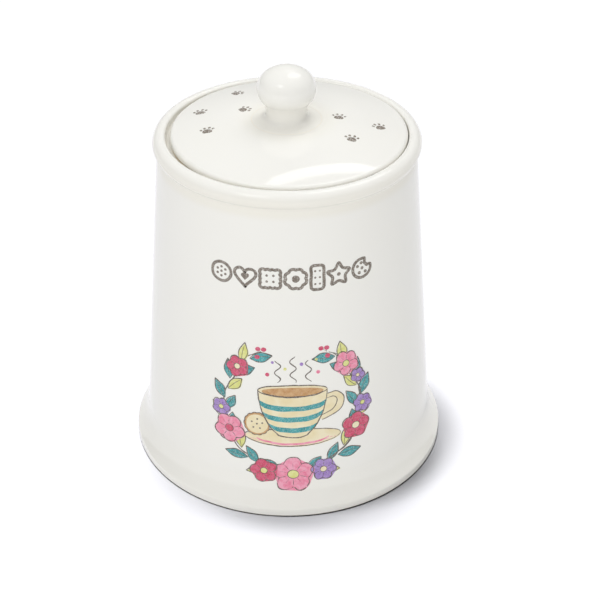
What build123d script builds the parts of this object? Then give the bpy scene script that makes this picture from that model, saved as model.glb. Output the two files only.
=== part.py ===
"""A glazed earthenware biscuit jar: a tapered body on a flared foot, with a rolled lip, and a
domed lid that drops into a gallery inside the lip. The lid carries a hollow ball knob, and a
silicone ring under its flange.

Millimetres, +Z up. The origin is the middle of the foot on the surface that the jar stands on,
and the decorated front faces -Y. Every piece is turned: a half section, with radius along X and
height along Z, is revolved about an upright axis.
"""
import os
from math import acos, atan2, cos, degrees, radians, sin, sqrt

from build123d import *

# Body: outside
body_height = 166.5           # floor to the top of the lip
foot_radius = 77.5            # flared foot at its widest
foot_edge_height = 4.4        # upright edge of the foot
foot_edge_round = 1.7         # rounding on top of that edge
foot_floor_round = 1.0        # rounding where that edge meets the floor
wall_floor_radius = 72.7      # tapered wall, carried down to the floor
flare_height = 18.0           # where the wall starts to flare out to the foot
lip_width = 6.05              # mouth to the outside of the rolled lip
lip_roll = 4.1                # radius of the roll's section
lip_overhang = 2.15           # how far the roll stands out from the wall
lip_root_round = 2.2          # hollow where the roll meets the wall

# Body: inside and underneath
wall_thickness = 5.0
base_thickness = 6.0
floor_corner_round = 9.0      # where the inside wall meets the inside floor
foot_ring_width = 5.5         # unglazed ring that the jar stands on
foot_recess_depth = 3.5       # hollow of the underside inside that ring
foot_recess_round = 1.5

# Gallery: the recess inside the lip that the lid drops into
mouth_radius = 56.2
mouth_edge_round = 1.3        # inner edge of the lip
ledge_width = 6.4             # ledge that carries the lid
ledge_thickness = 3.2
ledge_undercut = 5.0          # height of the slope from the ledge back to the wall
ledge_round = 1.0
gallery_corner_round = 2.2    # cove between the ledge and the gallery's wall

# Lid
lid_clearance = 1.35          # lid to gallery wall, with the lid in the middle
lid_play_taken = 0.75         # share of that clearance by which the lid lies off the middle
lid_play_azimuth = 22.0       # the way it lies, in degrees from +X towards +Y
lid_edge_below_lip = 0.1      # corner of the lid's edge, below the top of the lip
lid_edge_height = 3.2
lid_edge_round = 1.9
lid_underside_round = 1.0
dome_rise = 6.4               # edge corner to crown
lid_thickness = 5.0
collar_clearance = 1.6        # collar to the ledge's bore, with the lid in the middle
collar_thickness = 4.2
collar_depth = 12.0           # below the lid's flange
collar_foot_round = 1.8
collar_root_round = 3.0
vent_radius = 2.5             # lets air out of the knob in the kiln

# Seal ring
seal_thickness = 1.2
seal_groove_depth = 0.8       # groove in the collar that holds the ring
seal_groove_play = 0.2        # ring to the groove, across and under it
seal_setback = 1.9            # ring's edge, inside the lid's edge
seal_round = 0.35

# Knob
knob_radius = 13.5            # ball, seen from above
knob_half_height = 10.5       # half the height of the flattened ball
knob_side_round = 9.1         # radius of the ball's sides; its top is a wider arc
knob_rise = 15.55             # knob's seat to the middle of the ball
knob_off_centre = 1.1         # how far the knob was joined off the lid's middle, towards -X
knob_base_radius = 16.5       # where the flared neck runs out on the lid
knob_waist_radius = 9.5
knob_waist_rise = 3.3         # knob's seat to the top of the flare
knob_waist_round = 7.5        # soft hollow where the neck meets the ball
knob_edge_drop = 0.22         # steepness of the flare where it runs out, rise over run
knob_wall = 3.4
knob_bore_radius = 4.0

# Heights and radii that follow from those above
lip_radius = mouth_radius + lip_width
wall_lip_radius = lip_radius - lip_overhang
lip_centre_radius = lip_radius - lip_roll
lip_centre_height = body_height - lip_roll
wall_slope = (wall_lip_radius - wall_floor_radius) / lip_centre_height
ledge_radius = mouth_radius - ledge_width
lid_radius = mouth_radius - lid_clearance
lid_corner_height = body_height - lid_edge_below_lip
flange_underside = lid_corner_height - lid_edge_height
ledge_height = flange_underside - seal_thickness
floor_height = foot_recess_depth + base_thickness
collar_radius = ledge_radius - collar_clearance
collar_inner_radius = collar_radius - collar_thickness
collar_foot_height = flange_underside - collar_depth
crown_height = lid_corner_height + dome_rise
dome_radius = (lid_radius**2 + dome_rise**2) / (2 * dome_rise)
dome_centre_height = crown_height - dome_radius
seal_radius = lid_radius - seal_setback
groove_radius = collar_radius - seal_groove_depth
seal_inner_radius = groove_radius + seal_groove_play
lid_shift = lid_play_taken * lid_clearance
lid_axis = Axis(
    (lid_shift * cos(radians(lid_play_azimuth)), lid_shift * sin(radians(lid_play_azimuth)), 0),
    (0, 0, 1),
)
lid_section = Plane(origin=lid_axis.position, x_dir=(1, 0, 0), z_dir=(0, -1, 0))
knob_axis = Axis(lid_axis.position - Vector(knob_off_centre, 0, 0), (0, 0, 1))
knob_section = Plane(origin=knob_axis.position, x_dir=(1, 0, 0), z_dir=(0, -1, 0))


def wall_radius(height):
    """Radius of the tapered outer wall at a height."""
    return wall_floor_radius + wall_slope * height


def dome_height(radius, depth=0.0):
    """Height of the lid's dome at a radius, or of the surface a depth under it."""
    return dome_centre_height + sqrt((dome_radius - depth) ** 2 - radius**2)


def corner(sketch, radius, height):
    """The corner of a half section nearest to a radius and a height."""
    return sketch.vertices().sort_by_distance((radius, height))[0]


knob_seat_radius = knob_base_radius + knob_off_centre
knob_seat_height = dome_height(knob_seat_radius)
knob_centre_height = knob_seat_height + knob_rise
knob_top = knob_centre_height + knob_half_height
knob_side_centre = knob_radius - knob_side_round
knob_crown_round = ((knob_side_centre**2 + knob_half_height**2 - knob_side_round**2)
                    / (2 * (knob_half_height - knob_side_round)))
knob_shoulder = degrees(atan2(knob_crown_round - knob_half_height, knob_side_centre))


def knob_side(angle, depth=0.0):
    """Point on the ball's side at an angle above its middle, or on the surface a depth under it."""
    reach = knob_side_round - depth
    return (knob_side_centre + reach * cos(radians(angle)), knob_centre_height + reach * sin(radians(angle)))


def knob_side_angle(radius, depth=0.0):
    """Angle, under the ball's middle, at which its side has come in to a radius."""
    return -degrees(acos((radius - knob_side_centre) / (knob_side_round - depth)))


# Jar body: the outside is filled to the axis, then the inside is taken out of it
with BuildPart() as jar_body:
    with BuildSketch(Plane.XZ) as section:
        with BuildLine():
            flare_top = (wall_radius(flare_height), flare_height)
            foot_corner = (foot_radius, foot_edge_height)
            wall_top = (wall_lip_radius, lip_centre_height)
            Polyline((0, body_height), (0, 0), (foot_radius, 0), foot_corner)
            TangentArc(flare_top, foot_corner, tangent=(-wall_slope, -1))
            Polyline(flare_top, wall_top, (lip_centre_radius, lip_centre_height),
                     (lip_centre_radius, body_height), (0, body_height))
        make_face()
        with Locations((lip_centre_radius, lip_centre_height)):
            Circle(lip_roll)
        root_drop = sqrt(lip_roll**2 - (wall_lip_radius - lip_centre_radius) ** 2)
        fillet(corner(section, wall_radius(lip_centre_height - root_drop), lip_centre_height - root_drop),
               lip_root_round)
        fillet(corner(section, foot_radius, foot_edge_height), foot_edge_round)
        fillet(corner(section, foot_radius, 0), foot_floor_round)
        with BuildLine():
            undercut_height = ledge_height - ledge_thickness
            inner_top_height = undercut_height - ledge_undercut
            Polyline(
                (0, body_height), (0, floor_height),
                (wall_radius(floor_height) - wall_thickness, floor_height),
                (wall_radius(inner_top_height) - wall_thickness, inner_top_height),
                (ledge_radius, undercut_height), (ledge_radius, ledge_height),
                (mouth_radius, ledge_height), (mouth_radius, body_height), (0, body_height),
            )
        make_face(mode=Mode.SUBTRACT)
        with BuildLine():
            recess_radius = foot_radius - foot_ring_width
            Polyline((0, 0), (recess_radius, 0), (recess_radius, foot_recess_depth),
                     (0, foot_recess_depth), close=True)
        make_face(mode=Mode.SUBTRACT)
        fillet(corner(section, mouth_radius, body_height), mouth_edge_round)
        fillet(corner(section, mouth_radius, ledge_height), gallery_corner_round)
        fillet(corner(section, ledge_radius, ledge_height), ledge_round)
        fillet(corner(section, ledge_radius, undercut_height), ledge_round)
        fillet(corner(section, wall_radius(inner_top_height) - wall_thickness, inner_top_height),
               floor_corner_round)
        fillet(corner(section, wall_radius(floor_height) - wall_thickness, floor_height),
               floor_corner_round)
        fillet(corner(section, recess_radius, foot_recess_depth), foot_recess_round)
    revolve(axis=Axis.Z)

# Lid: a dome on a flange, with the collar and its groove underneath
with BuildPart() as lid:
    with BuildSketch(lid_section) as section:
        with BuildLine():
            TangentArc((0, crown_height), (lid_radius, lid_corner_height), tangent=(1, 0))
            Polyline(
                (lid_radius, lid_corner_height), (lid_radius, flange_underside),
                (groove_radius, flange_underside),
                (groove_radius, flange_underside - seal_thickness - seal_groove_play),
                (collar_radius, flange_underside - seal_thickness - seal_groove_play),
                (collar_radius, collar_foot_height), (collar_inner_radius, collar_foot_height),
                (collar_inner_radius, dome_height(collar_inner_radius, lid_thickness)),
            )
            TangentArc((0, crown_height - lid_thickness),
                       (collar_inner_radius, dome_height(collar_inner_radius, lid_thickness)),
                       tangent=(1, 0))
            Line((0, crown_height - lid_thickness), (0, crown_height))
        make_face()
        with BuildLine():
            Polyline((0, knob_seat_height), (knob_seat_radius, knob_seat_height),
                     (knob_seat_radius, crown_height), (0, crown_height), close=True)
        make_face(mode=Mode.SUBTRACT)
        with BuildLine():
            Polyline((0, crown_height), (0, crown_height - 2 * lid_thickness),
                     (vent_radius, crown_height - 2 * lid_thickness), (vent_radius, crown_height),
                     close=True)
        make_face(mode=Mode.SUBTRACT)
        fillet(corner(section, lid_radius, lid_corner_height), lid_edge_round)
        fillet(corner(section, lid_radius, flange_underside), lid_underside_round)
        fillet(corner(section, collar_radius, collar_foot_height), collar_foot_round)
        fillet(corner(section, collar_inner_radius, collar_foot_height), collar_foot_round)
        fillet(corner(section, collar_inner_radius, dome_height(collar_inner_radius, lid_thickness)),
               collar_root_round)
    revolve(axis=lid_axis)

# Seal ring: lies on the ledge, under the lid's flange, with its inner edge in the collar's groove
with BuildPart() as seal_ring:
    with BuildSketch(lid_section) as section:
        with BuildLine():
            Polyline((seal_inner_radius, ledge_height), (seal_radius, ledge_height),
                     (seal_radius, flange_underside), (seal_inner_radius, flange_underside), close=True)
        make_face()
        fillet(section.vertices(), seal_round)
    revolve(axis=lid_axis)

# Knob: a hollow ball on a flared neck, open below to the lid's vent
with BuildPart() as lid_knob:
    with BuildSketch(knob_section) as section:
        with BuildLine():
            neck_angle = knob_side_angle(knob_waist_radius)
            neck_top = knob_side(neck_angle)
            flare_top = (knob_waist_radius, knob_seat_height + knob_waist_rise)
            base_edge = (knob_base_radius, knob_seat_height)
            side_centre = (knob_side_centre, knob_centre_height)
            TangentArc((0, knob_top), knob_side(knob_shoulder), tangent=(1, 0))
            CenterArc(side_centre, knob_side_round, neck_angle, knob_shoulder - neck_angle)
            Line(neck_top, flare_top)
            Spline(flare_top, base_edge, tangents=[(0, -1), (1, -knob_edge_drop)])
            bore_angle = knob_side_angle(knob_bore_radius, knob_wall)
            Polyline(base_edge, (knob_bore_radius, knob_seat_height), knob_side(bore_angle, knob_wall))
            CenterArc(side_centre, knob_side_round - knob_wall, bore_angle, knob_shoulder - bore_angle)
            TangentArc((0, knob_top - knob_wall), knob_side(knob_shoulder, knob_wall), tangent=(1, 0))
            Line((0, knob_top - knob_wall), (0, knob_top))
        make_face()
        fillet(corner(section, *neck_top), knob_waist_round)
    revolve(axis=knob_axis)

os.makedirs("parts", exist_ok=True)
for name, piece in (("jar_body", jar_body), ("lid", lid), ("seal_ring", seal_ring), ("lid_knob", lid_knob)):
    piece.part.label = name
    export_step(piece.part, f"parts/{name}.step")
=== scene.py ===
"""Looks for a glazed earthenware biscuit jar: glazes, bare clay, the silicone ring and the transfer
prints, dressed around the packed frame and lit on a plain studio floor.

It is laid out as an add-on: settings in property groups, one operator for each piece or group of
pieces, and a panel that lists them. Lengths in the drawings are in millimetres, and everything else
is in metres. The frame has +Z up, the floor at 0 and the decorated front towards -Y.
"""
import math
import random

import bpy
from bpy.props import FloatProperty, FloatVectorProperty, IntProperty, PointerProperty
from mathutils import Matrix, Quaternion, Vector, geometry, noise
from mathutils.bvhtree import BVHTree


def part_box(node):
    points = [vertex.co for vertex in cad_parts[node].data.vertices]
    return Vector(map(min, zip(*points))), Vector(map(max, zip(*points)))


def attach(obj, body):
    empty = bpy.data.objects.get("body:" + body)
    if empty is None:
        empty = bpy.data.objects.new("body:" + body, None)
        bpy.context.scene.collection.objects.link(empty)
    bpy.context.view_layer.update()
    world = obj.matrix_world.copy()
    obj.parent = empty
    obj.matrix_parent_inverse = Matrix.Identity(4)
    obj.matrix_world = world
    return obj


bl_info = {
    "name": "Glazed biscuit jar",
    "version": (1, 0, 0),
    "blender": (4, 5, 0),
    "location": "3D View > Sidebar > Biscuit Jar",
    "description": "Glazes, prints and stage for an earthenware biscuit jar",
    "category": "Object",
}

MM = 0.001

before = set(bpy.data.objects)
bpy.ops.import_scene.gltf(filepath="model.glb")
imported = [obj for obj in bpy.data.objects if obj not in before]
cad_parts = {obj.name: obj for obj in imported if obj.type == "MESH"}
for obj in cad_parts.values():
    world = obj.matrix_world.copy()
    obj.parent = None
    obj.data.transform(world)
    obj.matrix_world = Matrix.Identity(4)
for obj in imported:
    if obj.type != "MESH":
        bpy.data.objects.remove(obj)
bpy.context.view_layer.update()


# Colours and nodes

def linear(colour):
    """Linear RGBA of an sRGB hex colour."""
    channels = [int(colour[i:i + 2], 16) / 255 for i in (0, 2, 4)]
    return tuple(c / 12.92 if c <= 0.04045 else ((c + 0.055) / 1.055) ** 2.4 for c in channels) + (1.0,)


def colour_setting(name, description, colour):
    """A colour that a user can change, with its default given as sRGB hex."""
    return FloatVectorProperty(name=name, description=description, subtype="COLOR", size=4, min=0, max=1,
                               default=linear(colour))


def length_setting(name, description, metres):
    """A length that a user can change."""
    return FloatProperty(name=name, description=description, default=metres, unit="LENGTH")


def add_node(tree, kind, settings=None, **inputs):
    """Adds a node. Inputs are values or other nodes' sockets, and _ in their names stands for a space."""
    made = tree.nodes.new(kind)
    for name, value in (settings or {}).items():
        setattr(made, name, value)
    for name, value in inputs.items():
        socket = made.inputs[int(name[1:])] if name[1:].isdigit() else made.inputs[name.replace("_", " ")]
        if isinstance(value, bpy.types.NodeSocket):
            tree.links.new(value, socket)
        else:
            socket.default_value = value
    return made


def add_object(name, data):
    """Puts an object into the scene."""
    made = bpy.data.objects.new(name, data)
    bpy.context.scene.collection.objects.link(made)
    return made


def new_material(name):
    """An empty node material and its tree."""
    material = bpy.data.materials.new(name)
    material.use_nodes = True
    material.node_tree.nodes.clear()
    return material, material.node_tree


def finish_material(tree, shader):
    """Connects the shader to the material's output."""
    add_node(tree, "ShaderNodeOutputMaterial", Surface=shader.outputs[0])


# Settings

class GlazeSettings(bpy.types.PropertyGroup):
    """Glaze, clay and silicone."""
    glaze: colour_setting("Glaze", "Cream-white glaze over the white body", "F2F1EC")
    # The pooled colour is glaze that runs together in hollows, and also painted shade under the lip, in the
    # gallery's cove and round the knob.
    pooled_and_shade: colour_setting("Pooled glaze", "Glaze where it runs together in hollows", "ECE6D4")
    clay: colour_setting("Bare clay", "Fired earthenware where the glaze was wiped off", "EFE5D3")
    silicone: colour_setting("Silicone", "Moulded seal ring", "EADFC8")
    glaze_roughness: FloatProperty(name="Glaze roughness", description="Micro roughness of the fired glaze",
                                   default=0.045, min=0, max=1, subtype="FACTOR")
    flow_spacing: length_setting("Flow spacing", "Distance between the soft waves of the glaze", 0.017)
    peel_spacing: length_setting("Peel spacing", "Distance between the fine ripples of the glaze", 0.0024)


class PrintSettings(bpy.types.PropertyGroup):
    """Transfer prints, in their inks' colours and their places on the pot."""
    outline: colour_setting("Outline ink", "Thin drawn lines", "71675F")
    taupe: colour_setting("Taupe ink", "Biscuit row and paw prints", "857B70")
    teal: colour_setting("Teal ink", "Stripes and leaves", "48A6AA")
    cream: colour_setting("Cream ink", "Cup, saucer and biscuits", "EFE4C4")
    pink: colour_setting("Pink ink", "Large blossoms", "F0A5BC")
    magenta: colour_setting("Magenta ink", "Small blossoms and berries", "D65C7D")
    lilac: colour_setting("Lilac ink", "Small blossoms", "AD90CC")
    lime: colour_setting("Lime ink", "Pale leaves", "E2E29A")
    tan: colour_setting("Tan ink", "Tea and baked edges", "CFA878")
    picture_height: length_setting("Picture height", "Middle of the picture above the floor", 0.0565)
    row_height: length_setting("Row height", "Middle of the biscuit row above the floor", 0.1252)
    offset: length_setting("Offset", "Middle of the prints, to the right of the front", 0.0026)
    picture_size: FloatProperty(name="Picture size", description="Scale of the picture's drawing",
                                default=1.1)
    film: length_setting("Film", "How far the first ink stands proud of the glaze", 0.00003)
    seed: IntProperty(name="Seed", description="Start of the hand-drawn irregularity", default=7, min=1)


class StageSettings(bpy.types.PropertyGroup):
    """Floor, lamps and camera."""
    floor_size: length_setting("Floor size", "Edge of the square floor", 8.0)
    paper_seen: FloatProperty(name="Paper seen", default=0.1,
                              description="Share of light that the eye sees from the paper")
    paper_bounce: FloatProperty(name="Paper bounce", default=0.086,
                                description="Share of light that the paper gives the jar")
    world_light: FloatProperty(name="World light", description="Light from the surroundings",
                               default=0.34)
    world_gloss: FloatProperty(name="World gloss", description="Surroundings as gloss shows them",
                               default=0.2)
    lamp_distance: length_setting("Lamp distance", "Lamps from the jar", 1.4)
    lens: FloatProperty(name="Lens", description="Focal length in mm on a 36 mm sensor", default=91.08)


# Sockets that the finishes are made of

def maths(tree, operation, first, second):
    """The result of a sum, product or other Math node."""
    return add_node(tree, "ShaderNodeMath", {"operation": operation}, _0=first, _1=second).outputs[0]


def blend(tree, share, first, second):
    """Two colours, mixed by a share."""
    return add_node(tree, "ShaderNodeMix", {"data_type": "RGBA"}, _0=share, _6=first, _7=second).outputs[2]


def clouds(tree, place, size, detail, **inputs):
    """Noise with clouds of about a size."""
    return add_node(tree, "ShaderNodeTexNoise", Vector=place, Scale=1 / size, Detail=detail,
                    **inputs).outputs[0]


def spread(tree, value, low, high, top=1.0):
    """A value between two limits, spread over 0 to a top."""
    return add_node(tree, "ShaderNodeMapRange", Value=value, From_Min=low, From_Max=high,
                    To_Max=top).outputs[0]


def raised(tree, height, distance, strength=1.0, **inputs):
    """The normal of a surface that a height raises by up to a distance."""
    return add_node(tree, "ShaderNodeBump", Strength=strength, Distance=distance, Height=height,
                    **inputs).outputs[0]


def turned_place(tree, axis):
    """The place on a piece, its radius about an upright axis and its height, all in metres."""
    place = add_node(tree, "ShaderNodeTexCoord").outputs["Object"]
    out = add_node(tree, "ShaderNodeVectorMath", {"operation": "SUBTRACT"}, _0=place, _1=(*axis, 0))
    flat = add_node(tree, "ShaderNodeVectorMath", {"operation": "MULTIPLY"}, _0=out.outputs[0],
                    _1=(1, 1, 0))
    radius = add_node(tree, "ShaderNodeVectorMath", {"operation": "LENGTH"}, _0=flat.outputs[0])
    height = add_node(tree, "ShaderNodeSeparateXYZ", Vector=place)
    return place, radius.outputs["Value"], height.outputs["Z"]


def band(tree, value, low, high, soft):
    """1 where a value lies between two limits, falling to 0 over a soft distance outside them."""
    rise, fall = (
        add_node(tree, "ShaderNodeMapRange", {"interpolation_type": "SMOOTHSTEP"}, Value=value,
                 From_Min=outer, From_Max=inner).outputs[0]
        for outer, inner in ((low - soft, low), (high + soft, high)))
    return maths(tree, "MULTIPLY", rise, fall)


def region(tree, radius, height, radii, heights, soft, strength):
    """A ring-shaped region of a turned piece: radii and heights are (low, high)."""
    both = maths(tree, "MULTIPLY", band(tree, radius, *radii, soft), band(tree, height, *heights, soft))
    return maths(tree, "MULTIPLY", both, strength)


def most_of(tree, masks):
    """The largest of several masks."""
    whole = masks[0]
    for mask in masks[1:]:
        whole = maths(tree, "MAXIMUM", whole, mask)
    return whole


# Glaze, clay and silicone. Sizes of clouds and grains, and heights of reliefs, are in metres

GLAZE_IOR = 1.5
WAVE_RELIEF = 0.00003
RIPPLE_RELIEF = 0.0000022
MOTTLE_SIZE = 0.028
MOTTLE_SHARE = 0.06  # how much of the colour of pooled glaze and painted shade the mottle brings
CLAY_GRAIN = 0.0006
CLAY_RELIEF = 0.00005
SILICONE_CLOUD = 0.006
SILICONE_GRAIN = 0.0004
SILICONE_RELIEF = 0.00002


def glaze_relief(tree, place, glaze):
    """Soft waves where the glaze ran in the kiln, with a fine ripple over them."""
    waves = raised(tree, clouds(tree, place, glaze.flow_spacing, 1.0), WAVE_RELIEF)
    return raised(tree, clouds(tree, place, glaze.peel_spacing, 2.0), RIPPLE_RELIEF, Normal=waves)


def dipped_glaze(name, axis, pools_and_shade, bare):
    """Clear glossy glaze over white earthenware, dipped and fired: it gathers warm in hollows, lies thin
    on edges, and was wiped off where the piece stood or sealed. The warm tint is also painted shade, laid
    where shade falls under the lip, in the gallery's cove, at the lid's lower edge and round the knob.
    The eye sees a soft cream white with a sharp, slightly wavy gloss. The warm regions and the bare
    patches are each listed as (radii, heights, soft, strength)."""
    glaze = bpy.context.scene.jar_glaze
    material, tree = new_material(name)
    place, radius, height = turned_place(tree, axis)
    # the warm mask: pooled glaze in hollows, and painted shade where shade falls on the pot
    pooled_and_shade = most_of(tree, [region(tree, radius, height, *pool_and_shade) for pool_and_shade in pools_and_shade])
    mottle = spread(tree, clouds(tree, place, MOTTLE_SIZE, 3.0), 0.3, 0.7, MOTTLE_SHARE)
    pooled_shade_and_mottle = add_node(tree, "ShaderNodeMath", {"operation": "ADD", "use_clamp": True}, _0=pooled_and_shade, _1=mottle)
    glossy = add_node(tree, "ShaderNodeBsdfPrincipled", IOR=GLAZE_IOR, Roughness=glaze.glaze_roughness,
                      Base_Color=blend(tree, pooled_shade_and_mottle.outputs[0], glaze.glaze, glaze.pooled_and_shade),
                      Normal=glaze_relief(tree, place, glaze))
    grain = clouds(tree, place, CLAY_GRAIN, 4.0)
    clay = add_node(tree, "ShaderNodeBsdfPrincipled", IOR=GLAZE_IOR, Roughness=0.85,
                    Base_Color=blend(tree, grain, linear("E3D6BF"), glaze.clay),
                    Normal=raised(tree, grain, CLAY_RELIEF, 0.6))
    wiped = most_of(tree, [region(tree, radius, height, *patch) for patch in bare])
    finish_material(tree, add_node(tree, "ShaderNodeMixShader", _0=wiped, _1=glossy.outputs[0],
                                   _2=clay.outputs[0]))
    return material


def moulded_silicone():
    """Food-grade silicone, moulded: a matt, faintly cloudy pale beige with dust in its fine texture."""
    material, tree = new_material("moulded_silicone")
    place = add_node(tree, "ShaderNodeTexCoord").outputs["Object"]
    colour = blend(tree, clouds(tree, place, SILICONE_CLOUD, 3.0), bpy.context.scene.jar_glaze.silicone,
                   linear("DCCFB4"))
    texture = raised(tree, clouds(tree, place, SILICONE_GRAIN, 2.0), SILICONE_RELIEF, 0.4)
    finish_material(tree, add_node(tree, "ShaderNodeBsdfPrincipled", Base_Color=colour, Roughness=0.55,
                                   IOR=1.41, Normal=texture))
    return material


def span(start, low, high):
    """Two places, given in millimetres from a start."""
    return start + low * MM, start + high * MM


def dress(node_name, material):
    """Gives a frame node its finish."""
    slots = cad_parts[node_name].data.materials
    slots.clear()
    slots.append(material)


class JAR_OT_glaze_body(bpy.types.Operator):
    """Glazes the jar's body, and bares its foot ring and ledge"""
    bl_idname = "jar.glaze_body"
    bl_label = "Glaze the body"

    def execute(self, context):
        low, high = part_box("jar_body")
        foot, lip = high.x, high.z
        pools_and_shade = [
            (span(foot, -19, -14.6), span(lip, -10, -4.5), 4.5 * MM, 0.3),  # under the lip: pooled glaze and painted shade below the lip's overhang
            (span(foot, -9, 0), span(0, 4, 15), 7 * MM, 0.08),  # flare of the foot: a faint warm tint low on the flare
            (span(foot, -24.5, -21.2), span(lip, -4.6, -1.2), 0.8 * MM, 0.12),  # gallery's cove: pooled glaze and painted shade in the recess
            ((0, foot - 8 * MM), span(0, 2.5, 3.6), 1 * MM, 0.5),  # underside
        ]
        bare = [
            (span(foot, -6, -0.3), span(0, -1, 0.35), 0.4 * MM, 1.0),  # foot ring
            (span(foot, -27.7, -24.2), span(lip, -4.7, -4.3), 0.3 * MM, 1.0),  # ledge
        ]
        dress("jar_body", dipped_glaze("dipped_glaze_body", ((low.x + high.x) / 2, (low.y + high.y) / 2),
                                       pools_and_shade, bare))
        return {"FINISHED"}


class JAR_OT_glaze_lid(bpy.types.Operator):
    """Glazes the lid and its knob, and bares the flange that meets the ring"""
    bl_idname = "jar.glaze_lid"
    bl_label = "Glaze the lid and knob"

    def execute(self, context):
        low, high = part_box("lid")
        axis = ((low.x + high.x) / 2, (low.y + high.y) / 2)
        edge = (high.x - low.x) / 2
        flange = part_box("seal_ring")[1].z
        knob_low, knob_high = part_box("lid_knob")
        knob_axis = ((knob_low.x + knob_high.x) / 2, (knob_low.y + knob_high.y) / 2)
        seat = knob_low.z
        pools_and_shade = [
            (span(edge, -1.2, 1), span(flange, 0, 2.4), 0.8 * MM, 0.12),  # lower edge: pooled glaze and painted shade in the gap by the gallery
            ((0, 17 * MM), span(seat, -1, 1), 9 * MM, 0.15),  # round the knob: painted shade of the knob on the lid, and pooled glaze
        ]
        bare = [
            (span(edge, -7.4, -1.1), span(flange, -0.2, 0.2), 0.3 * MM, 1.0),  # flange, on the ring
            ((0, 4.2 * MM), span(seat, -9, 25), 0.3 * MM, 1.0),  # vent
        ]
        dress("lid", dipped_glaze("dipped_glaze_lid", axis, pools_and_shade, bare))
        # painted shade under the knob's ball, and glaze pooled at its neck
        neck_pool_and_shade = ((0, 17 * MM), span(seat, -1, 4), 12 * MM, 0.15)
        joint = ((0, 16.2 * MM), span(seat, -0.1, 0.05), 0.05 * MM, 1.0)
        dress("lid_knob", dipped_glaze("dipped_glaze_knob", knob_axis, [neck_pool_and_shade], [joint]))
        return {"FINISHED"}


class JAR_OT_seal(bpy.types.Operator):
    """Gives the seal ring its silicone"""
    bl_idname = "jar.seal"
    bl_label = "Finish the seal ring"

    def execute(self, context):
        dress("seal_ring", moulded_silicone())
        return {"FINISHED"}


# Lines and shapes of the drawings, in millimetres across and up

def flow(points, closed=False, step=0.7):
    """A smooth line through a few points."""
    count = len(points)
    line = []
    for i in range(count if closed else count - 1):
        if closed:
            near = [points[(i + k) % count] for k in (-1, 0, 1, 2)]
        else:
            near = [points[min(max(i + k, 0), count - 1)] for k in (-1, 0, 1, 2)]
        steps = max(2, math.ceil(math.dist(near[1], near[2]) / step))
        for j in range(steps):
            t = j / steps
            line.append(tuple(
                0.5 * (2 * q + (r - p) * t + (2 * p - 5 * q + 4 * r - s) * t**2
                       + (3 * q - p - 3 * r + s) * t**3)
                for p, q, r, s in zip(*near)))
    if not closed:
        line.append(tuple(points[-1]))
    return line


def oval(width, height, start=0.0, sweep=360.0, step=0.7):
    """An ellipse about the origin, or an arc of one, in degrees."""
    length = math.radians(abs(sweep)) * (width + height) / 2
    steps = max(10, math.ceil(length / step))
    angles = [math.radians(start + sweep * i / steps) for i in range(steps + (abs(sweep) < 360))]
    return [(width * math.cos(a), height * math.sin(a)) for a in angles]


def lobed(radius, lobes, depth, step=0.7):
    """A ring of rounded lobes about the origin, the first centred on +across."""
    steps = max(6 * lobes, math.ceil(math.tau * radius / step))
    line = []
    for i in range(steps):
        angle = math.tau * i / steps
        reach = radius * (1 - depth * (1 - abs(math.cos(lobes * angle / 2)) ** 0.8))
        line.append((reach * math.cos(angle), reach * math.sin(angle)))
    return line


def heart(size):
    """A heart with its point down, about as wide as it is high."""
    line = []
    for i in range(40):
        angle = math.tau * i / 40
        across = 16 * math.sin(angle) ** 3
        up = 13 * math.cos(angle) - 5 * math.cos(2 * angle) - 2 * math.cos(3 * angle) - math.cos(4 * angle)
        line.append((-across * size / 32, up * size / 32))
    return line


def put(line, at=(0, 0), turn=0.0, size=1.0):
    """A line turned anticlockwise by degrees, sized, and moved."""
    cosine, sine = math.cos(math.radians(turn)) * size, math.sin(math.radians(turn)) * size
    return [(at[0] + x * cosine - y * sine, at[1] + x * sine + y * cosine) for x, y in line]


def unsteady(line, amount, seed, spacing=4.0):
    """The line as a hand would draw it."""
    moved = []
    for x, y in line:
        sway = noise.noise_vector(Vector((x / spacing, y / spacing, seed * 3.7)))
        moved.append((x + sway.x * amount, y + sway.y * amount))
    return moved


def divided(outline, longest):
    """A closed outline with points added on its long sides."""
    line = []
    for a, b in zip(outline, outline[1:] + outline[:1]):
        steps = max(1, math.ceil(math.dist(a, b) / longest))
        line += [(a[0] + (b[0] - a[0]) * i / steps, a[1] + (b[1] - a[1]) * i / steps) for i in range(steps)]
    return line


def inside(point, outline):
    """Whether a point lies inside a closed outline."""
    x, y = point
    hits = False
    for (ax, ay), (bx, by) in zip(outline, outline[1:] + outline[:1]):
        if (ay > y) != (by > y) and x < ax + (y - ay) * (bx - ax) / (by - ay):
            hits = not hits
    return hits


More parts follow.
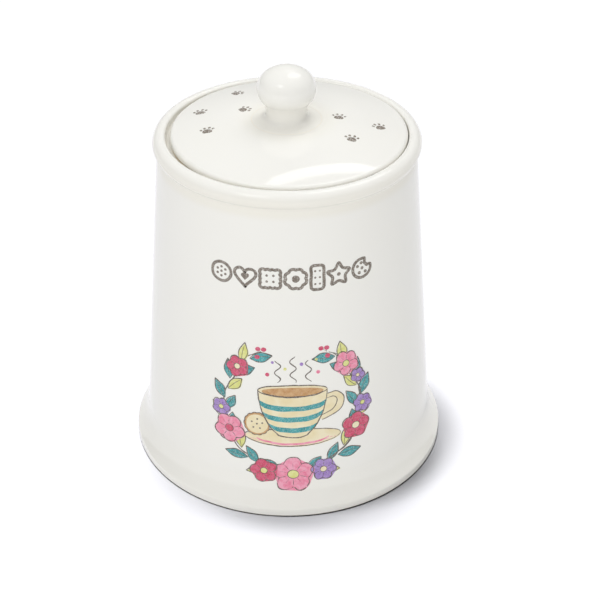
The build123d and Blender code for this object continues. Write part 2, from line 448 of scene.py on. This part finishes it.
class Transfer:
    """A transfer print: washes and pen strokes laid on a surface as thin closed slabs of ink, each on a
    layer. lay turns (across, up, lift), in millimetres, into a place on the surface."""

    layer_step = 0.012  # one layer of ink over the next
    sunk = 0.25  # how far a slab reaches into the glaze
    mesh_step = 1.6  # between the points that let a wash bend round the surface
    rim_clearance = 0.5  # from those points to the wash's outline
    tip = 0.35  # a pen stroke's width at its ends, as a share
    taper = 0.22  # share of a stroke's length over which it thins to that

    def __init__(self, lay, film, inks):
        self.lay = lay
        self.film = film
        self.inks = inks
        self.points = []
        self.faces = []
        self.face_inks = []
        self.layer = 0

    def slab(self, flat, top_faces, rim, ink):
        """Adds the slab over flat points: top_faces and rim are anticlockwise indices."""
        start, count = len(self.points), len(flat)
        lift = self.film + self.layer * self.layer_step
        self.points += [self.lay(x, y, lift) for x, y in flat]
        self.points += [self.lay(x, y, -self.sunk) for x, y in flat]
        made = [[start + i for i in face] for face in top_faces]
        made += [[start + count + i for i in reversed(face)] for face in top_faces]
        made += [[start + count + a, start + count + b, start + b, start + a] for a, b in rim]
        self.faces += made
        self.face_inks += [list(self.inks).index(ink)] * len(made)

    def wash(self, outline, ink):
        """Fills a closed outline."""
        area = sum(ax * by - bx * ay for (ax, ay), (bx, by) in zip(outline, outline[1:] + outline[:1]))
        outline = divided(outline if area > 0 else outline[::-1], self.mesh_step / 2)
        low = [min(p[k] for p in outline) for k in (0, 1)]
        high = [max(p[k] for p in outline) for k in (0, 1)]
        columns, rows = (int((high[k] - low[k]) / self.mesh_step) for k in (0, 1))
        grid = [(low[0] + (i + 0.5) * self.mesh_step, low[1] + (j + 0.5) * self.mesh_step)
                for i in range(columns) for j in range(rows)]
        grid = [p for p in grid
                if inside(p, outline) and min(math.dist(p, q) for q in outline) > self.rim_clearance]
        rim = [(i, (i + 1) % len(outline)) for i in range(len(outline))]
        flat, _, faces = geometry.delaunay_2d_cdt(
            [Vector(p) for p in outline + grid], rim, [], 1, 1e-5, False)[:3]
        upward = [list(f) if geometry.normal(*[flat[i].to_3d() for i in f[:3]]).z > 0 else list(reversed(f))
                  for f in faces]
        sides = {}
        for face in upward:
            for a, b in zip(face, face[1:] + face[:1]):
                sides[(a, b)] = (b, a) not in sides and sides.get((a, b), True)
                if (b, a) in sides:
                    sides[(b, a)] = sides[(a, b)] = False
        used = sorted({i for face in upward for i in face})
        number = {old: new for new, old in enumerate(used)}
        self.slab([tuple(flat[i]) for i in used], [[number[i] for i in f] for f in upward],
                  [(number[a], number[b]) for (a, b), outer in sides.items() if outer], ink)

    def stroke(self, line, width, ink, closed=False):
        """Draws a pen stroke, thinner at its two ends."""
        count = len(line)
        travelled = [0.0]
        for a, b in zip(line, line[1:]):
            travelled.append(travelled[-1] + math.dist(a, b))
        total = travelled[-1]
        if count < 2 or total < 1e-6:
            raise ValueError("a pen stroke needs at least two different points")
        flat = []
        for i, (x, y) in enumerate(line):
            if closed:
                before, after = line[i - 1], line[(i + 1) % count]
            else:
                before, after = line[max(i - 1, 0)], line[min(i + 1, count - 1)]
            reach = math.dist(before, after) or 1.0
            side = ((before[1] - after[1]) / reach, (after[0] - before[0]) / reach)
            end = min(travelled[i], total - travelled[i]) / (total * self.taper)
            half = width / 2 * (1 if closed else self.tip + (1 - self.tip) * math.sqrt(min(1, end)))
            flat += [(x + side[0] * half, y + side[1] * half), (x - side[0] * half, y - side[1] * half)]
        spans = [(2 * i, 2 * ((i + 1) % count)) for i in range(count if closed else count - 1)]
        tops = [[a + 1, b + 1, b, a] for a, b in spans]
        rim = [(a + 1, b + 1) for a, b in spans] + [(b, a) for a, b in spans]
        if not closed:
            rim += [(0, 1), (2 * count - 1, 2 * count - 2)]
        self.slab(flat, tops, rim, ink)

    def sketch(self, line, width, ink, closed=False, seed=0, amount=0.25):
        """Draws a line twice, each time with another unsteady hand."""
        for again in range(2):
            drawn = unsteady(line, amount, seed + 11 * again)
            if closed:
                drawn = drawn + drawn[:2]
            self.stroke(drawn, width * (1 - 0.3 * again), ink)

    def dot(self, at, radius, ink):
        """A round dot."""
        self.wash(put(oval(radius, radius, step=0.35), at), ink)

    def piece(self, name, body, slot):
        """Makes the print's mesh and lets it ride on a body."""
        mesh = bpy.data.meshes.new(name)
        mesh.from_pydata(self.points, [], self.faces)
        for ink in self.inks.values():
            mesh.materials.append(ink)
        mesh.polygons.foreach_set("material_index", self.face_inks)
        mesh.polygons.foreach_set("use_smooth", [True] * len(mesh.polygons))
        mesh.update()
        mesh.set_sharp_from_angle(angle=math.radians(30))
        made = add_object(name, mesh)
        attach(made, body)


def turned_profile(node_name, aims):
    """The points at which rays meet a turned piece, a list for each aim. An aim is a function of an angle
    that gives a ray's start and direction. The furthest point of a full turn is a corner of the mesh."""
    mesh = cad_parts[node_name].data
    tree = BVHTree.FromPolygons([v.co for v in mesh.vertices], [p.vertices for p in mesh.polygons])
    found = []
    for aim in aims:
        hits = [tree.ray_cast(*aim(math.tau * i / 24)) for i in range(24)]
        points = [hit[0] for hit in hits if hit[0] is not None]
        if not points:
            raise RuntimeError(f"no ray meets {node_name}")
        found.append(points)
    return found


def read_off(table, first, at):
    """A value between the entries of a table that starts at a first place and goes up by millimetres."""
    place = min(max((at - first) / MM, 0), len(table) - 1.001)
    low = int(place)
    return table[low] + (table[low + 1] - table[low]) * (place - low)


def lay_on_wall(across, height, size=1.0):
    """Wraps a drawing on the body's outer wall, its middle at a place across the front and a height."""
    outside, lowest, count = 0.2, 4 * MM, 150
    aims = [lambda turn, z=lowest + i * MM: (
        Vector((outside * math.cos(turn), outside * math.sin(turn), z)),
        Vector((-math.cos(turn), -math.sin(turn), 0))) for i in range(count)]
    radii = [max(math.hypot(p.x, p.y) for p in points) for points in turned_profile("jar_body", aims)]
    middle = read_off(radii, lowest, height)

    def lay(x, y, lift):
        z = height + y * size * MM
        turn = (across + x * size * MM) / middle
        reach = read_off(radii, lowest, z) + lift * MM
        return Vector((reach * math.sin(turn), -reach * math.cos(turn), z))
    return lay


def lay_on_dome():
    """Lays a drawing on the lid's dome, about the lid's own axis."""
    low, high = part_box("lid")
    axis = Vector(((low.x + high.x) / 2, (low.y + high.y) / 2, 0))
    above, smallest, count = 0.4, 19 * MM, 35
    aims = [lambda turn, r=smallest + i * MM: (
        axis + Vector((r * math.cos(turn), r * math.sin(turn), above)), Vector((0, 0, -1)))
        for i in range(count)]
    heights = [max(p.z for p in points) for points in turned_profile("lid", aims)]

    def lay(x, y, lift):
        z = read_off(heights, smallest, math.hypot(x, y) * MM)
        return axis + Vector((x * MM, y * MM, z + lift * MM))
    return lay


# Inks

INK_GRIT = 0.00055  # size of the gaps that a dry stamp leaves


def fired_ink(name, colour, deep, wash, worn):
    """Ceramic transfer ink, screen printed and fired into the glaze: as glossy as the glaze, with the
    clouds of a brushed wash every few millimetres, and gaps where a dry stamp missed."""
    glaze = bpy.context.scene.jar_glaze
    material, tree = new_material(name)
    place = add_node(tree, "ShaderNodeTexCoord").outputs["Object"]
    share = spread(tree, clouds(tree, place, wash * MM, 3.0, Distortion=0.6), 0.35, 0.68)
    missed = spread(tree, clouds(tree, place, INK_GRIT, 2.0), 0.50, 0.66, worn)
    shown = blend(tree, missed, blend(tree, share, colour, deep), glaze.glaze)
    finish_material(tree, add_node(tree, "ShaderNodeBsdfPrincipled", Base_Color=shown, IOR=GLAZE_IOR,
                                   Roughness=glaze.glaze_roughness,
                                   Normal=glaze_relief(tree, place, glaze)))
    return material


def deeper(colour, share):
    """A colour with its darker channels deepened, as where a wash dries thicker."""
    return tuple(c ** (1 + share) for c in colour[:3]) + (1.0,)


def print_inks():
    """The inks of all prints, made once: colour, how far it deepens, clouds in mm, and how worn."""
    prints = bpy.context.scene.jar_prints
    recipes = {
        "outline": (prints.outline, 0.5, 2.0, 0.25), "taupe": (prints.taupe, 0.35, 2.0, 0.4),
        "teal": (prints.teal, 0.45, 3.0, 0.25), "cream": (prints.cream, 0.5, 6.0, 0.0),
        "pink": (prints.pink, 0.7, 2.5, 0.1), "magenta": (prints.magenta, 0.4, 2.0, 0.1),
        "lilac": (prints.lilac, 0.4, 2.0, 0.15), "lime": (prints.lime, 0.5, 3.0, 0.1),
        "tan": (prints.tan, 0.5, 2.5, 0.1), "stamp": (prints.taupe, 0.15, 1.6, 0.75),
    }
    inks = {}
    for name, (colour, share, wash, worn) in recipes.items():
        title = f"fired_ink_{name}"
        inks[name] = (bpy.data.materials.get(title)
                      or fired_ink(title, colour, deeper(colour, share), wash, worn))
    return inks


def start_transfer(lay):
    """A blank transfer print with all inks, drawn by a hand that is equally unsteady each time."""
    prints = bpy.context.scene.jar_prints
    noise.seed_set(prints.seed)
    return Transfer(lay, prints.film / MM, print_inks())


# Paw prints on the lid

PAW_PLACES = (  # across and up from the lid's middle, and degrees clockwise
    (-25.3, 33.2, 52), (-41.5, 13.3, -8), (-21.1, 10.6, 60), (-37.3, -7.5, -4),
    (22.9, 2.7, 8), (41.6, -2.6, -28), (28.3, -16.9, 6),
)
PAW_SIZE = 0.94
TOES = ((-2.9, 1.3, 0.7), (-1.2, 2.75, 0.78), (1.2, 2.75, 0.78), (2.9, 1.3, 0.7))


def draw_paw(sheet, at, turn, seed):
    """A plain paw: a brushed pad with pale streaks and four toes."""
    pad = [(-2.3, -1.5), (-1.2, -2.2), (0, -2.0), (1.2, -2.2), (2.3, -1.4), (2.1, 0.1), (1.1, 1.2),
           (0, 1.5), (-1.1, 1.2), (-2.2, 0.0)]
    sheet.layer = 0
    sheet.wash(put(unsteady(flow(pad, True, 0.4), 0.22, seed), at, turn, PAW_SIZE), "stamp")
    for across, up, size in TOES:
        toe = unsteady(oval(size * 0.9, size * 1.2, step=0.3), 0.15, seed + up)
        sheet.wash(put(put(toe, (across, up), -9 * across), at, turn, PAW_SIZE), "stamp")


class JAR_OT_paw_prints(bpy.types.Operator):
    """Prints the small paws on the lid"""
    bl_idname = "jar.paw_prints"
    bl_label = "Print the paws"

    def execute(self, context):
        sheet = start_transfer(lay_on_dome())
        for number, (across, up, turn) in enumerate(PAW_PLACES):
            draw_paw(sheet, (across, up), -turn, number)
        sheet.piece("paw_prints", "lid", "glazed_lid")
        return {"FINISHED"}


# Row of biscuits in taupe line on the wall

ROW_LINE = 1.45  # width of the line
ROW_GAP = 0.5  # between two biscuits


def biscuit_edge(sheet, line, at, amount, seed, turn=0.0):
    """Draws the closed edge of a biscuit with an unsteady hand."""
    sheet.stroke(put(unsteady(line, amount, seed), at, turn), ROW_LINE, "taupe", closed=True)


def biscuit_holes(sheet, at, places, radius):
    """Docks a biscuit with round holes."""
    for across, up in places:
        sheet.dot((at[0] + across, at[1] + up), radius, "taupe")


def docked_round(sheet, at):
    """A round biscuit with seven holes."""
    hole = 0.62
    biscuit_edge(sheet, oval(4.7, 4.7), at, 0.3, 1)
    for i in range(6):
        sheet.dot(put([(2.25, 0)], at, 60 * i + 30)[0], hole, "taupe")
    sheet.dot(at, hole, "taupe")


def heart_biscuit(sheet, at):
    """A heart with a smaller heart in it."""
    biscuit_edge(sheet, heart(10.2), at, 0.25, 2)
    sheet.wash(put(heart(3.8), at), "taupe")


def scalloped_square(sheet, at):
    """A square biscuit with a scalloped edge and four holes."""
    half, waves, bulge, count = 4.3, 4, 0.42, 24
    side = [(-half + 2 * half * i / count, -half - bulge * abs(math.sin(math.pi * waves * i / count)))
            for i in range(count)]
    edge = [p for turn in (0, 90, 180, 270) for p in put(side, turn=turn)]
    biscuit_edge(sheet, edge, at, 0.2, 3)
    biscuit_holes(sheet, at, ((-1.5, -1.5), (1.5, -1.5), (-1.5, 1.5), (1.5, 1.5)), 0.6)


def jam_flower(sheet, at):
    """A flower-shaped biscuit with a round middle."""
    biscuit_edge(sheet, lobed(5.1, 8, 0.14, 0.4), at, 0.15, 4, 22.5)
    sheet.wash(put(unsteady(oval(1.8, 1.8, step=0.4), 0.2, 4), at), "taupe")


def finger(sheet, at):
    """An upright finger with a double row of holes."""
    half, height, round_off = 2.9, 6.0, 1.5
    corners = [(half - round_off, -height + round_off, -90), (half - round_off, height - round_off, 0),
               (-half + round_off, height - round_off, 90), (-half + round_off, -height + round_off, 180)]
    edge = [p for x, y, start in corners for p in put(oval(round_off, round_off, start, 90), (x, y))]
    edge = [p for a, b in zip(edge, edge[1:] + edge[:1]) for p in flow([a, b], step=0.8)[:-1]]
    biscuit_edge(sheet, edge, at, 0.25, 5)
    biscuit_holes(sheet, at, [(across, up) for across in (-1.05, 1.05) for up in (-3.2, 0, 3.2)], 0.5)


def star_biscuit(sheet, at):
    """A rounded star with a hole."""
    points = [put([(5.6 if i % 2 == 0 else 3.3, 0)], (0, 0), 90 + 36 * i)[0] for i in range(10)]
    biscuit_edge(sheet, flow(points, True), at, 0.2, 6)
    sheet.dot(at, 0.9, "taupe")


def bitten_round(sheet, at):
    """A round biscuit with chips and a bite out of its edge."""
    radius, bite, towards = 4.7, 2.5, 40
    half = 2 * math.degrees(math.asin(bite / (2 * radius)))
    crust = oval(radius, radius, towards + half, 360 - 2 * half)
    centre = put([(radius, 0)], turn=towards)[0]
    toothed = []
    for x, y in oval(bite, bite, 270 - half / 2, half - 180, step=0.35):
        tooth = 1 - 0.16 * abs(math.sin(3.5 * math.atan2(y, x)))
        toothed.append((x * tooth, y * tooth))
    biscuit_edge(sheet, crust[:-1] + put(toothed, centre, towards)[:-1], at, 0.15, 7)
    biscuit_holes(sheet, at, ((-2.3, 1.2), (0.1, -0.1), (-1.4, -2.1), (1.8, -2.2), (-0.3, 2.6)), 0.8)


class JAR_OT_biscuit_row(bpy.types.Operator):
    """Prints a row of biscuit shapes in taupe line above the picture"""
    bl_idname = "jar.biscuit_row"
    bl_label = "Print the biscuit row"

    def execute(self, context):
        prints = context.scene.jar_prints
        sheet = start_transfer(lay_on_wall(prints.offset, prints.row_height))
        motifs = ((docked_round, 10.6), (heart_biscuit, 11.2), (scalloped_square, 10.6), (jam_flower, 11.2),
                  (finger, 7.2), (star_biscuit, 11.6), (bitten_round, 10.6))
        across = -(sum(width for _, width in motifs) + ROW_GAP * (len(motifs) - 1)) / 2
        for draw, width in motifs:
            draw(sheet, (across + width / 2, 0))
            across += width + ROW_GAP
        sheet.piece("biscuit_row_print", "jar", "glazed_body")
        return {"FINISHED"}


# Picture on the wall: a striped cup in a wreath

def draw_leaf(sheet, at, turn, length, width, ink, seed):
    """A pointed leaf that grows from a place, with its midrib."""
    edge = flow([(0, 0), (length * 0.3, width * 0.42), (length * 0.62, width * 0.44), (length, 0)])
    back = flow([(length, 0), (length * 0.6, -width * 0.5), (length * 0.28, -width * 0.4), (0, 0)])
    outline = put(edge[:-1] + back[:-1], at, turn)
    sheet.wash(put(outline, (0.25, -0.2)), ink)
    sheet.layer += 1
    sheet.sketch(outline, 0.34, "outline", closed=True, seed=seed, amount=0.3)
    midrib = flow([(0.3, 0), (length * 0.5, width * 0.06), (length * 0.86, 0)])
    sheet.stroke(put(midrib, at, turn), 0.26, "outline")
    sheet.layer -= 1


def draw_blossom(sheet, at, radius, petals, turn, ink, middle, seed):
    """A flat blossom: a ring of petals with lines between them, and a ringed middle."""
    shape = put(unsteady(lobed(radius, petals, 0.3), radius * 0.07, seed), at, turn)
    sheet.wash(put(shape, (0.3, -0.25)), ink)
    sheet.layer += 1
    sheet.sketch(shape, 0.36, "outline", closed=True, seed=seed, amount=0.3)
    between = [(radius * 0.32, 0), (radius * 0.48, 0.1), (radius * 0.66, 0)]
    vein = [(radius * 0.34, 0), (radius * 0.62, 0.25)]
    for i in range(petals):
        away = turn + (i + 0.5) * 360 / petals
        sheet.stroke(put(between, at, away), 0.28, "outline")
        sheet.stroke(put(vein, at, away + 180 / petals), 0.22, "outline")
    sheet.layer += 1
    sheet.wash(put(unsteady(oval(radius * 0.25, radius * 0.23, step=0.4), 0.2, seed), at), middle)
    sheet.layer += 1
    ring = put(oval(radius * 0.26, radius * 0.25, step=0.5), at)
    sheet.sketch(ring, 0.26, "outline", closed=True, seed=seed)
    sheet.layer -= 3


def draw_wreath(sheet, width=29.5, height=32.0):
    """Two leafy branches with blossoms, rising round a ring of this half width and half height."""
    hand = random.Random(bpy.context.scene.jar_prints.seed)
    bottom, reach, leaves, buds = -90, 144, 15, 3

    def on_ring(angle, out=0.0):
        """A place on the ring, by degrees from the right, or further out."""
        turn = math.radians(angle)
        return ((width + out) * math.cos(turn), (height + out) * math.sin(turn))

    sheet.layer = 0
    for side in (-1, 1):
        path = [on_ring(bottom + side * (4 + reach * i / 20), 0.9 * math.sin(i * 1.1)) for i in range(21)]
        sheet.sketch(flow(path), 0.5, "outline", seed=side + 3, amount=0.5)
        for i in range(leaves):
            angle = bottom + side * (12 + 9.2 * i)
            outward = 1 if i % 2 else -1
            along = angle + 90 * side
            slant = (32 + hand.uniform(-6, 8)) * outward * -side
            ink = "lime" if i % 3 == 1 else "teal"
            sheet.layer = 1 + 2 * (i % 2)
            draw_leaf(sheet, on_ring(angle, 0.4 * outward), along + slant, hand.uniform(8.2, 10.6),
                      hand.uniform(4.0, 4.8), ink, hand.random() * 90)
        tip = on_ring(bottom + side * 150)
        sheet.layer = 5
        for step in range(buds):
            bud = on_ring(bottom + side * (147 + 4.2 * step), (-1.6, 1.4, 0.2)[step])
            sheet.wash(put(oval(1.15, 1.0, step=0.4), bud), "magenta")
            sheet.stroke([tip, bud], 0.25, "outline")
    blossoms = (  # degrees, out, radius, petals, ink, ink of the middle
        (-90, 0.3, 8.8, 5, "pink", "lime"), (-113, 1.6, 6.0, 5, "magenta", "lime"),
        (-66, 1.8, 5.6, 6, "lilac", "cream"), (-158, 0.0, 7.0, 5, "pink", "magenta"),
        (-176, 2.0, 4.3, 5, "lilac", "lime"), (-22, 0.2, 6.6, 5, "magenta", "cream"),
        (-3, 1.6, 4.6, 6, "lilac", "lime"), (143, 0.6, 5.2, 5, "magenta", "cream"),
        (38, 0.4, 6.0, 5, "pink", "lime"), (22, 1.8, 3.6, 5, "lilac", "cream"),
    )
    for number, (angle, out, radius, petals, ink, middle) in enumerate(blossoms):
        sheet.layer = 7 + 4 * (number % 2)
        draw_blossom(sheet, on_ring(angle, out), radius, petals, 90 + 13 * number, ink, middle, number + 20)


def cup_half_width(level):
    """Half the cup's width from its foot, 0, to its rim, 1."""
    return 7.2 + 7.6 * math.sin(level * math.pi / 2) ** 0.75


def draw_cup(sheet):
    """A striped cup on its saucer with a biscuit beside it."""
    foot, rim = -11.0, 9.5

    def wall_point(level, side):
        """A place on the cup's left side, -1, or right side, 1."""
        return (side * cup_half_width(level), foot + (rim - foot) * level)

    def stripe_edge(level, count=14):
        """The curve round the cup's front at a level."""
        half, up = cup_half_width(level), foot + (rim - foot) * level
        return [(half * x, up - 2.6 * math.sqrt(1 - min(1, x * x))) for x in
                (-1 + 2 * i / count for i in range(count + 1))]

    sheet.layer = 0
    saucer = put(oval(20.5, 4.4), (0, foot - 2.6))
    sheet.wash(put(saucer, (0.3, -0.3)), "cream")
    sheet.layer = 1
    sheet.sketch(saucer, 0.42, "outline", closed=True, seed=51)
    sheet.stroke(put(unsteady(oval(15.5, 2.9, 190, 160), 0.3, 5), (0, foot - 2.9)), 1.0, "pink")
    for turn in range(200, 341, 14):
        inner = put(oval(16.6, 3.3, turn, 1), (0, foot - 2.8))[0]
        outer = put(oval(19.4, 4.0, turn, 1), (0, foot - 2.7))[0]
        sheet.stroke([inner, outer], 0.5, "pink")
    sheet.layer = 2
    biscuit = (-15.2, foot + 3.6)
    sheet.wash(put(lobed(5.6, 14, 0.07, 0.4), biscuit), "tan")
    sheet.layer = 3
    sheet.wash(put(unsteady(oval(4.7, 4.7), 0.2, 3), biscuit), "cream")
    sheet.layer = 4
    rippled = put(lobed(5.7, 14, 0.07, 0.4), biscuit)
    sheet.sketch(rippled, 0.34, "outline", closed=True, seed=61, amount=0.15)
    for i in range(5):
        sheet.dot(put([(2.4, 0)], biscuit, 72 * i + 15)[0], 0.42, "outline")
    sheet.dot(biscuit, 0.42, "outline")

    sheet.layer = 2
    outer = flow([(13.2, 6.6), (19.0, 7.4), (22.3, 3.4), (20.2, -2.2), (12.4, -5.6)])
    inner = flow([(11.2, -3.6), (17.2, -1.0), (19.2, 3.0), (17.4, 5.2), (13.2, 4.2)])
    sheet.wash(outer + inner, "cream")
    sheet.layer = 3
    sheet.sketch(outer, 0.42, "outline", seed=71)
    sheet.sketch(inner, 0.38, "outline", seed=72)

    levels = [i / 10 for i in range(11)]
    right = [wall_point(level, 1) for level in levels]
    left = [wall_point(level, -1) for level in reversed(levels)]
    sheet.layer = 5
    sheet.wash(put(right + left + stripe_edge(0)[1:-1], (0.3, -0.2)), "cream")
    sheet.layer = 6
    for low, high in ((0.12, 0.24), (0.38, 0.50), (0.64, 0.76)):
        sheet.wash(unsteady(stripe_edge(low) + stripe_edge(high)[::-1], 0.35, low * 40), "teal")
    sheet.layer = 7
    rim_oval = put(oval(14.8, 2.9), (0, rim))
    sheet.wash(rim_oval, "cream")
    sheet.layer = 8
    sheet.wash(put(oval(13.2, 2.2), (0, rim - 0.35)), "tan")
    sheet.layer = 9
    sheet.sketch(left + stripe_edge(0) + right, 0.46, "outline", seed=81, amount=0.35)
    sheet.sketch(rim_oval, 0.42, "outline", closed=True, seed=82)
    sheet.sketch(put(oval(13.2, 2.2, 190, 160), (0, rim - 0.35)), 0.3, "outline", seed=83)


def draw_steam(sheet):
    """Curls of steam over the cup, with flecks of colour between them."""
    sheet.layer = 1
    for number, across in enumerate((-6.4, 0.2, 6.8)):
        rise = 10.5 + 2 * (number % 2)
        curl = [(across + 1.3 * math.sin(i * rise / 40 + number), 13.8 + i * rise / 40) for i in range(41)]
        sheet.sketch(curl, 0.42, "outline", seed=90 + number, amount=0.3)
    flecks = (((-10.8, 17.4), 0.9, "magenta"), ((-3.2, 20.4), 0.7, "lime"), ((3.8, 22.6), 0.8, "lilac"),
              ((11.0, 18.2), 0.85, "pink"), ((-8.6, 23.4), 0.65, "lilac"), ((10.2, 24.4), 0.7, "lime"))
    for at, radius, ink in flecks:
        sheet.dot(at, radius, ink)


class JAR_OT_picture(bpy.types.Operator):
    """Prints a striped cup in a wreath of leaves and blossoms on the front"""
    bl_idname = "jar.picture"
    bl_label = "Print the picture"

    def execute(self, context):
        prints = context.scene.jar_prints
        lay = lay_on_wall(prints.offset, prints.picture_height, prints.picture_size)
        for name, draw in (("wreath_print", draw_wreath), ("cup_print", draw_cup),
                           ("steam_print", draw_steam)):
            sheet = start_transfer(lay)
            draw(sheet)
            sheet.piece(name, "jar", "glazed_body")
        return {"FINISHED"}


# Stage. Lamps are placed by degrees around from the front, through the right, and degrees up

JAR_MIDDLE = (0, 0, 0.1)  # what the lamps shine on
PAPER_TINT = 1.04  # blue of the seen paper against its red and green
CAMERA_PLACE = (0.00593, -0.62739, 0.48417)
CAMERA_PITCH = 56.76
SENSOR_WIDTH = 36.0
SUN_WIDTH = 5  # degrees across, which softens the jar's shadow
FILL_SIZE = 1.0
FLOOR_SUNS = (  # name, around, up, power
    ("floor_sun_back", 167, 81.5, 7.75), ("floor_sun_middle", 203, 80, 8.7),
    ("floor_sun_left", 249, 81.5, 15.0),
)
WINDOWS = (  # name, around, up, roll, power, (width, height)
    ("back_window", 171.8, 51.9, 33, 0.26, (0.56, 0.085)),
    ("roof_window", 143.3, 62.9, -12, 2.6, (0.5, 0.85)),
    ("front_window", 325, 55, 0, 1.5, (0.5, 0.5)),
)
FILLS = (  # name, around, up, power
    ("front_fill", 0, 25, 6.9), ("left_fill", 270, 20, 1.8), ("back_fill", 180, 12, 8.5),
    ("top_fill", 200, 82, 5.2), ("right_back_fill", 125, 50, 1.7), ("upper_back_fill", 174, 50, 1.1),
    ("front_left_fill", 325, 55, 0.7),
)


def studio_paper():
    """Matt white seamless paper. The eye, gloss and glass see it white with the jar's shadow on it, and
    the light that it gives the jar is set apart from that."""
    stage = bpy.context.scene.jar_stage
    material, tree = new_material("studio_paper")
    bounce, seen = stage.paper_bounce, stage.paper_seen
    paper = add_node(tree, "ShaderNodeBsdfDiffuse", Color=(bounce, bounce, bounce, 1.0))
    shown = add_node(tree, "ShaderNodeBsdfDiffuse", Color=(seen, seen, seen * PAPER_TINT, 1.0))
    path = add_node(tree, "ShaderNodeLightPath")
    share = most_of(tree, [path.outputs[name] for name in
                           ("Is Camera Ray", "Is Glossy Ray", "Is Transmission Ray")])
    finish_material(tree, add_node(tree, "ShaderNodeMixShader", _0=share, _1=paper.outputs[0],
                                   _2=shown.outputs[0]))
    return material


def white_world(light, gloss):
    """Even surroundings: plain white to the eye and to glass, and softer in gloss and as light."""
    world = bpy.data.worlds.new("studio")
    world.use_nodes = True
    tree = world.node_tree
    tree.nodes.clear()
    path = add_node(tree, "ShaderNodeLightPath")
    seen = most_of(tree, [path.outputs["Is Camera Ray"], path.outputs["Is Transmission Ray"]])
    shine = add_node(tree, "ShaderNodeMapRange", Value=path.outputs["Is Glossy Ray"], To_Min=light,
                     To_Max=gloss)
    level = add_node(tree, "ShaderNodeMix", _0=seen, _2=shine.outputs[0], _3=1.0)
    white = add_node(tree, "ShaderNodeBackground", Color=(1, 1, 1, 1), Strength=level.outputs[0])
    add_node(tree, "ShaderNodeOutputWorld", Surface=white.outputs[0])
    bpy.context.scene.world = world


def towards(around, up):
    """The direction that lies degrees around from the front, through the right, and degrees up."""
    turn, rise = math.radians(around), math.radians(up)
    return Vector((math.cos(rise) * math.sin(turn), -math.cos(rise) * math.cos(turn), math.sin(rise)))


def hang_lamp(name, kind, around, up, power, floor, state, roll=0.0, **settings):
    """Hangs a lamp that shines on the jar. With the state INCLUDE it lights only the floor, and with
    EXCLUDE everything but the floor. roll turns it about its own axis, in degrees."""
    lamp = bpy.data.lights.new(name, kind)
    lamp.energy = power
    for key, value in settings.items():
        setattr(lamp, key, value)
    made = add_object(name, lamp)
    away = towards(around, up)
    made.location = Vector(JAR_MIDDLE) + away * bpy.context.scene.jar_stage.lamp_distance
    turned = away.to_track_quat("Z", "Y") @ Quaternion((0, 0, 1), math.radians(roll))
    made.rotation_euler = turned.to_euler()
    receivers = bpy.data.collections.new(f"{name}_floor")
    receivers.objects.link(floor)
    receivers.collection_objects[0].light_linking.link_state = state
    made.light_linking.receiver_collection = receivers
    return made


class JAR_OT_stage(bpy.types.Operator):
    """Makes the floor, the lamps and the camera"""
    bl_idname = "jar.stage"
    bl_label = "Set the stage"

    def execute(self, context):
        stage = context.scene.jar_stage
        half = stage.floor_size / 2
        mesh = bpy.data.meshes.new("studio_floor")
        mesh.from_pydata([(-half, -half, 0), (half, -half, 0), (half, half, 0), (-half, half, 0)], [],
                         [(0, 1, 2, 3)])
        mesh.materials.append(studio_paper())
        floor = add_object("studio_floor", mesh)
        white_world(stage.world_light, stage.world_gloss)
        for name, around, up, power in FLOOR_SUNS:
            hang_lamp(name, "SUN", around, up, power, floor, "INCLUDE", angle=math.radians(SUN_WIDTH))
        for name, around, up, roll, power, (width, height) in WINDOWS:
            hang_lamp(name, "AREA", around, up, power, floor, "EXCLUDE", roll, shape="ELLIPSE",
                      size=width, size_y=height)
        for name, around, up, power in FILLS:
            fill = hang_lamp(name, "AREA", around, up, power, floor, "EXCLUDE", shape="SQUARE",
                             size=FILL_SIZE)
            fill.visible_glossy = False

        view = bpy.data.cameras.new("camera")
        view.lens = stage.lens
        view.sensor_width = SENSOR_WIDTH
        camera = add_object("camera", view)
        camera.location = CAMERA_PLACE
        camera.rotation_euler = (math.radians(CAMERA_PITCH), 0, 0)
        context.scene.camera = camera
        context.scene.view_settings.view_transform = "Standard"
        return {"FINISHED"}


class JAR_PT_panel(bpy.types.Panel):
    """Lists the jar's pieces and settings"""
    bl_idname = "JAR_PT_panel"
    bl_label = "Biscuit Jar"
    bl_space_type = "VIEW_3D"
    bl_region_type = "UI"
    bl_category = "Biscuit Jar"

    def draw(self, context):
        for operator in OPERATORS:
            self.layout.operator(operator.bl_idname)
        for title, owner in SETTINGS.items():
            box = self.layout.box()
            box.label(text=owner.__doc__)
            group = getattr(context.scene, title)
            for name in owner.__annotations__:
                box.prop(group, name)


OPERATORS = (JAR_OT_stage, JAR_OT_glaze_body, JAR_OT_glaze_lid, JAR_OT_seal, JAR_OT_paw_prints,
             JAR_OT_biscuit_row, JAR_OT_picture)
SETTINGS = {"jar_glaze": GlazeSettings, "jar_prints": PrintSettings, "jar_stage": StageSettings}


def register():
    """Registers the settings, the operators and the panel."""
    for owner in (*SETTINGS.values(), *OPERATORS, JAR_PT_panel):
        bpy.utils.register_class(owner)
    for title, owner in SETTINGS.items():
        setattr(bpy.types.Scene, title, PointerProperty(type=owner))


def unregister():
    """Takes out what register put in."""
    for title in SETTINGS:
        delattr(bpy.types.Scene, title)
    for owner in (JAR_PT_panel, *reversed(OPERATORS), *SETTINGS.values()):
        bpy.utils.unregister_class(owner)


def main():
    """Dresses the jar and sets the stage."""
    register()
    bpy.ops.jar.stage()
    bpy.ops.jar.glaze_body()
    bpy.ops.jar.glaze_lid()
    bpy.ops.jar.seal()
    bpy.ops.jar.paw_prints()
    bpy.ops.jar.biscuit_row()
    bpy.ops.jar.picture()


if __name__ == "__main__":
    main()
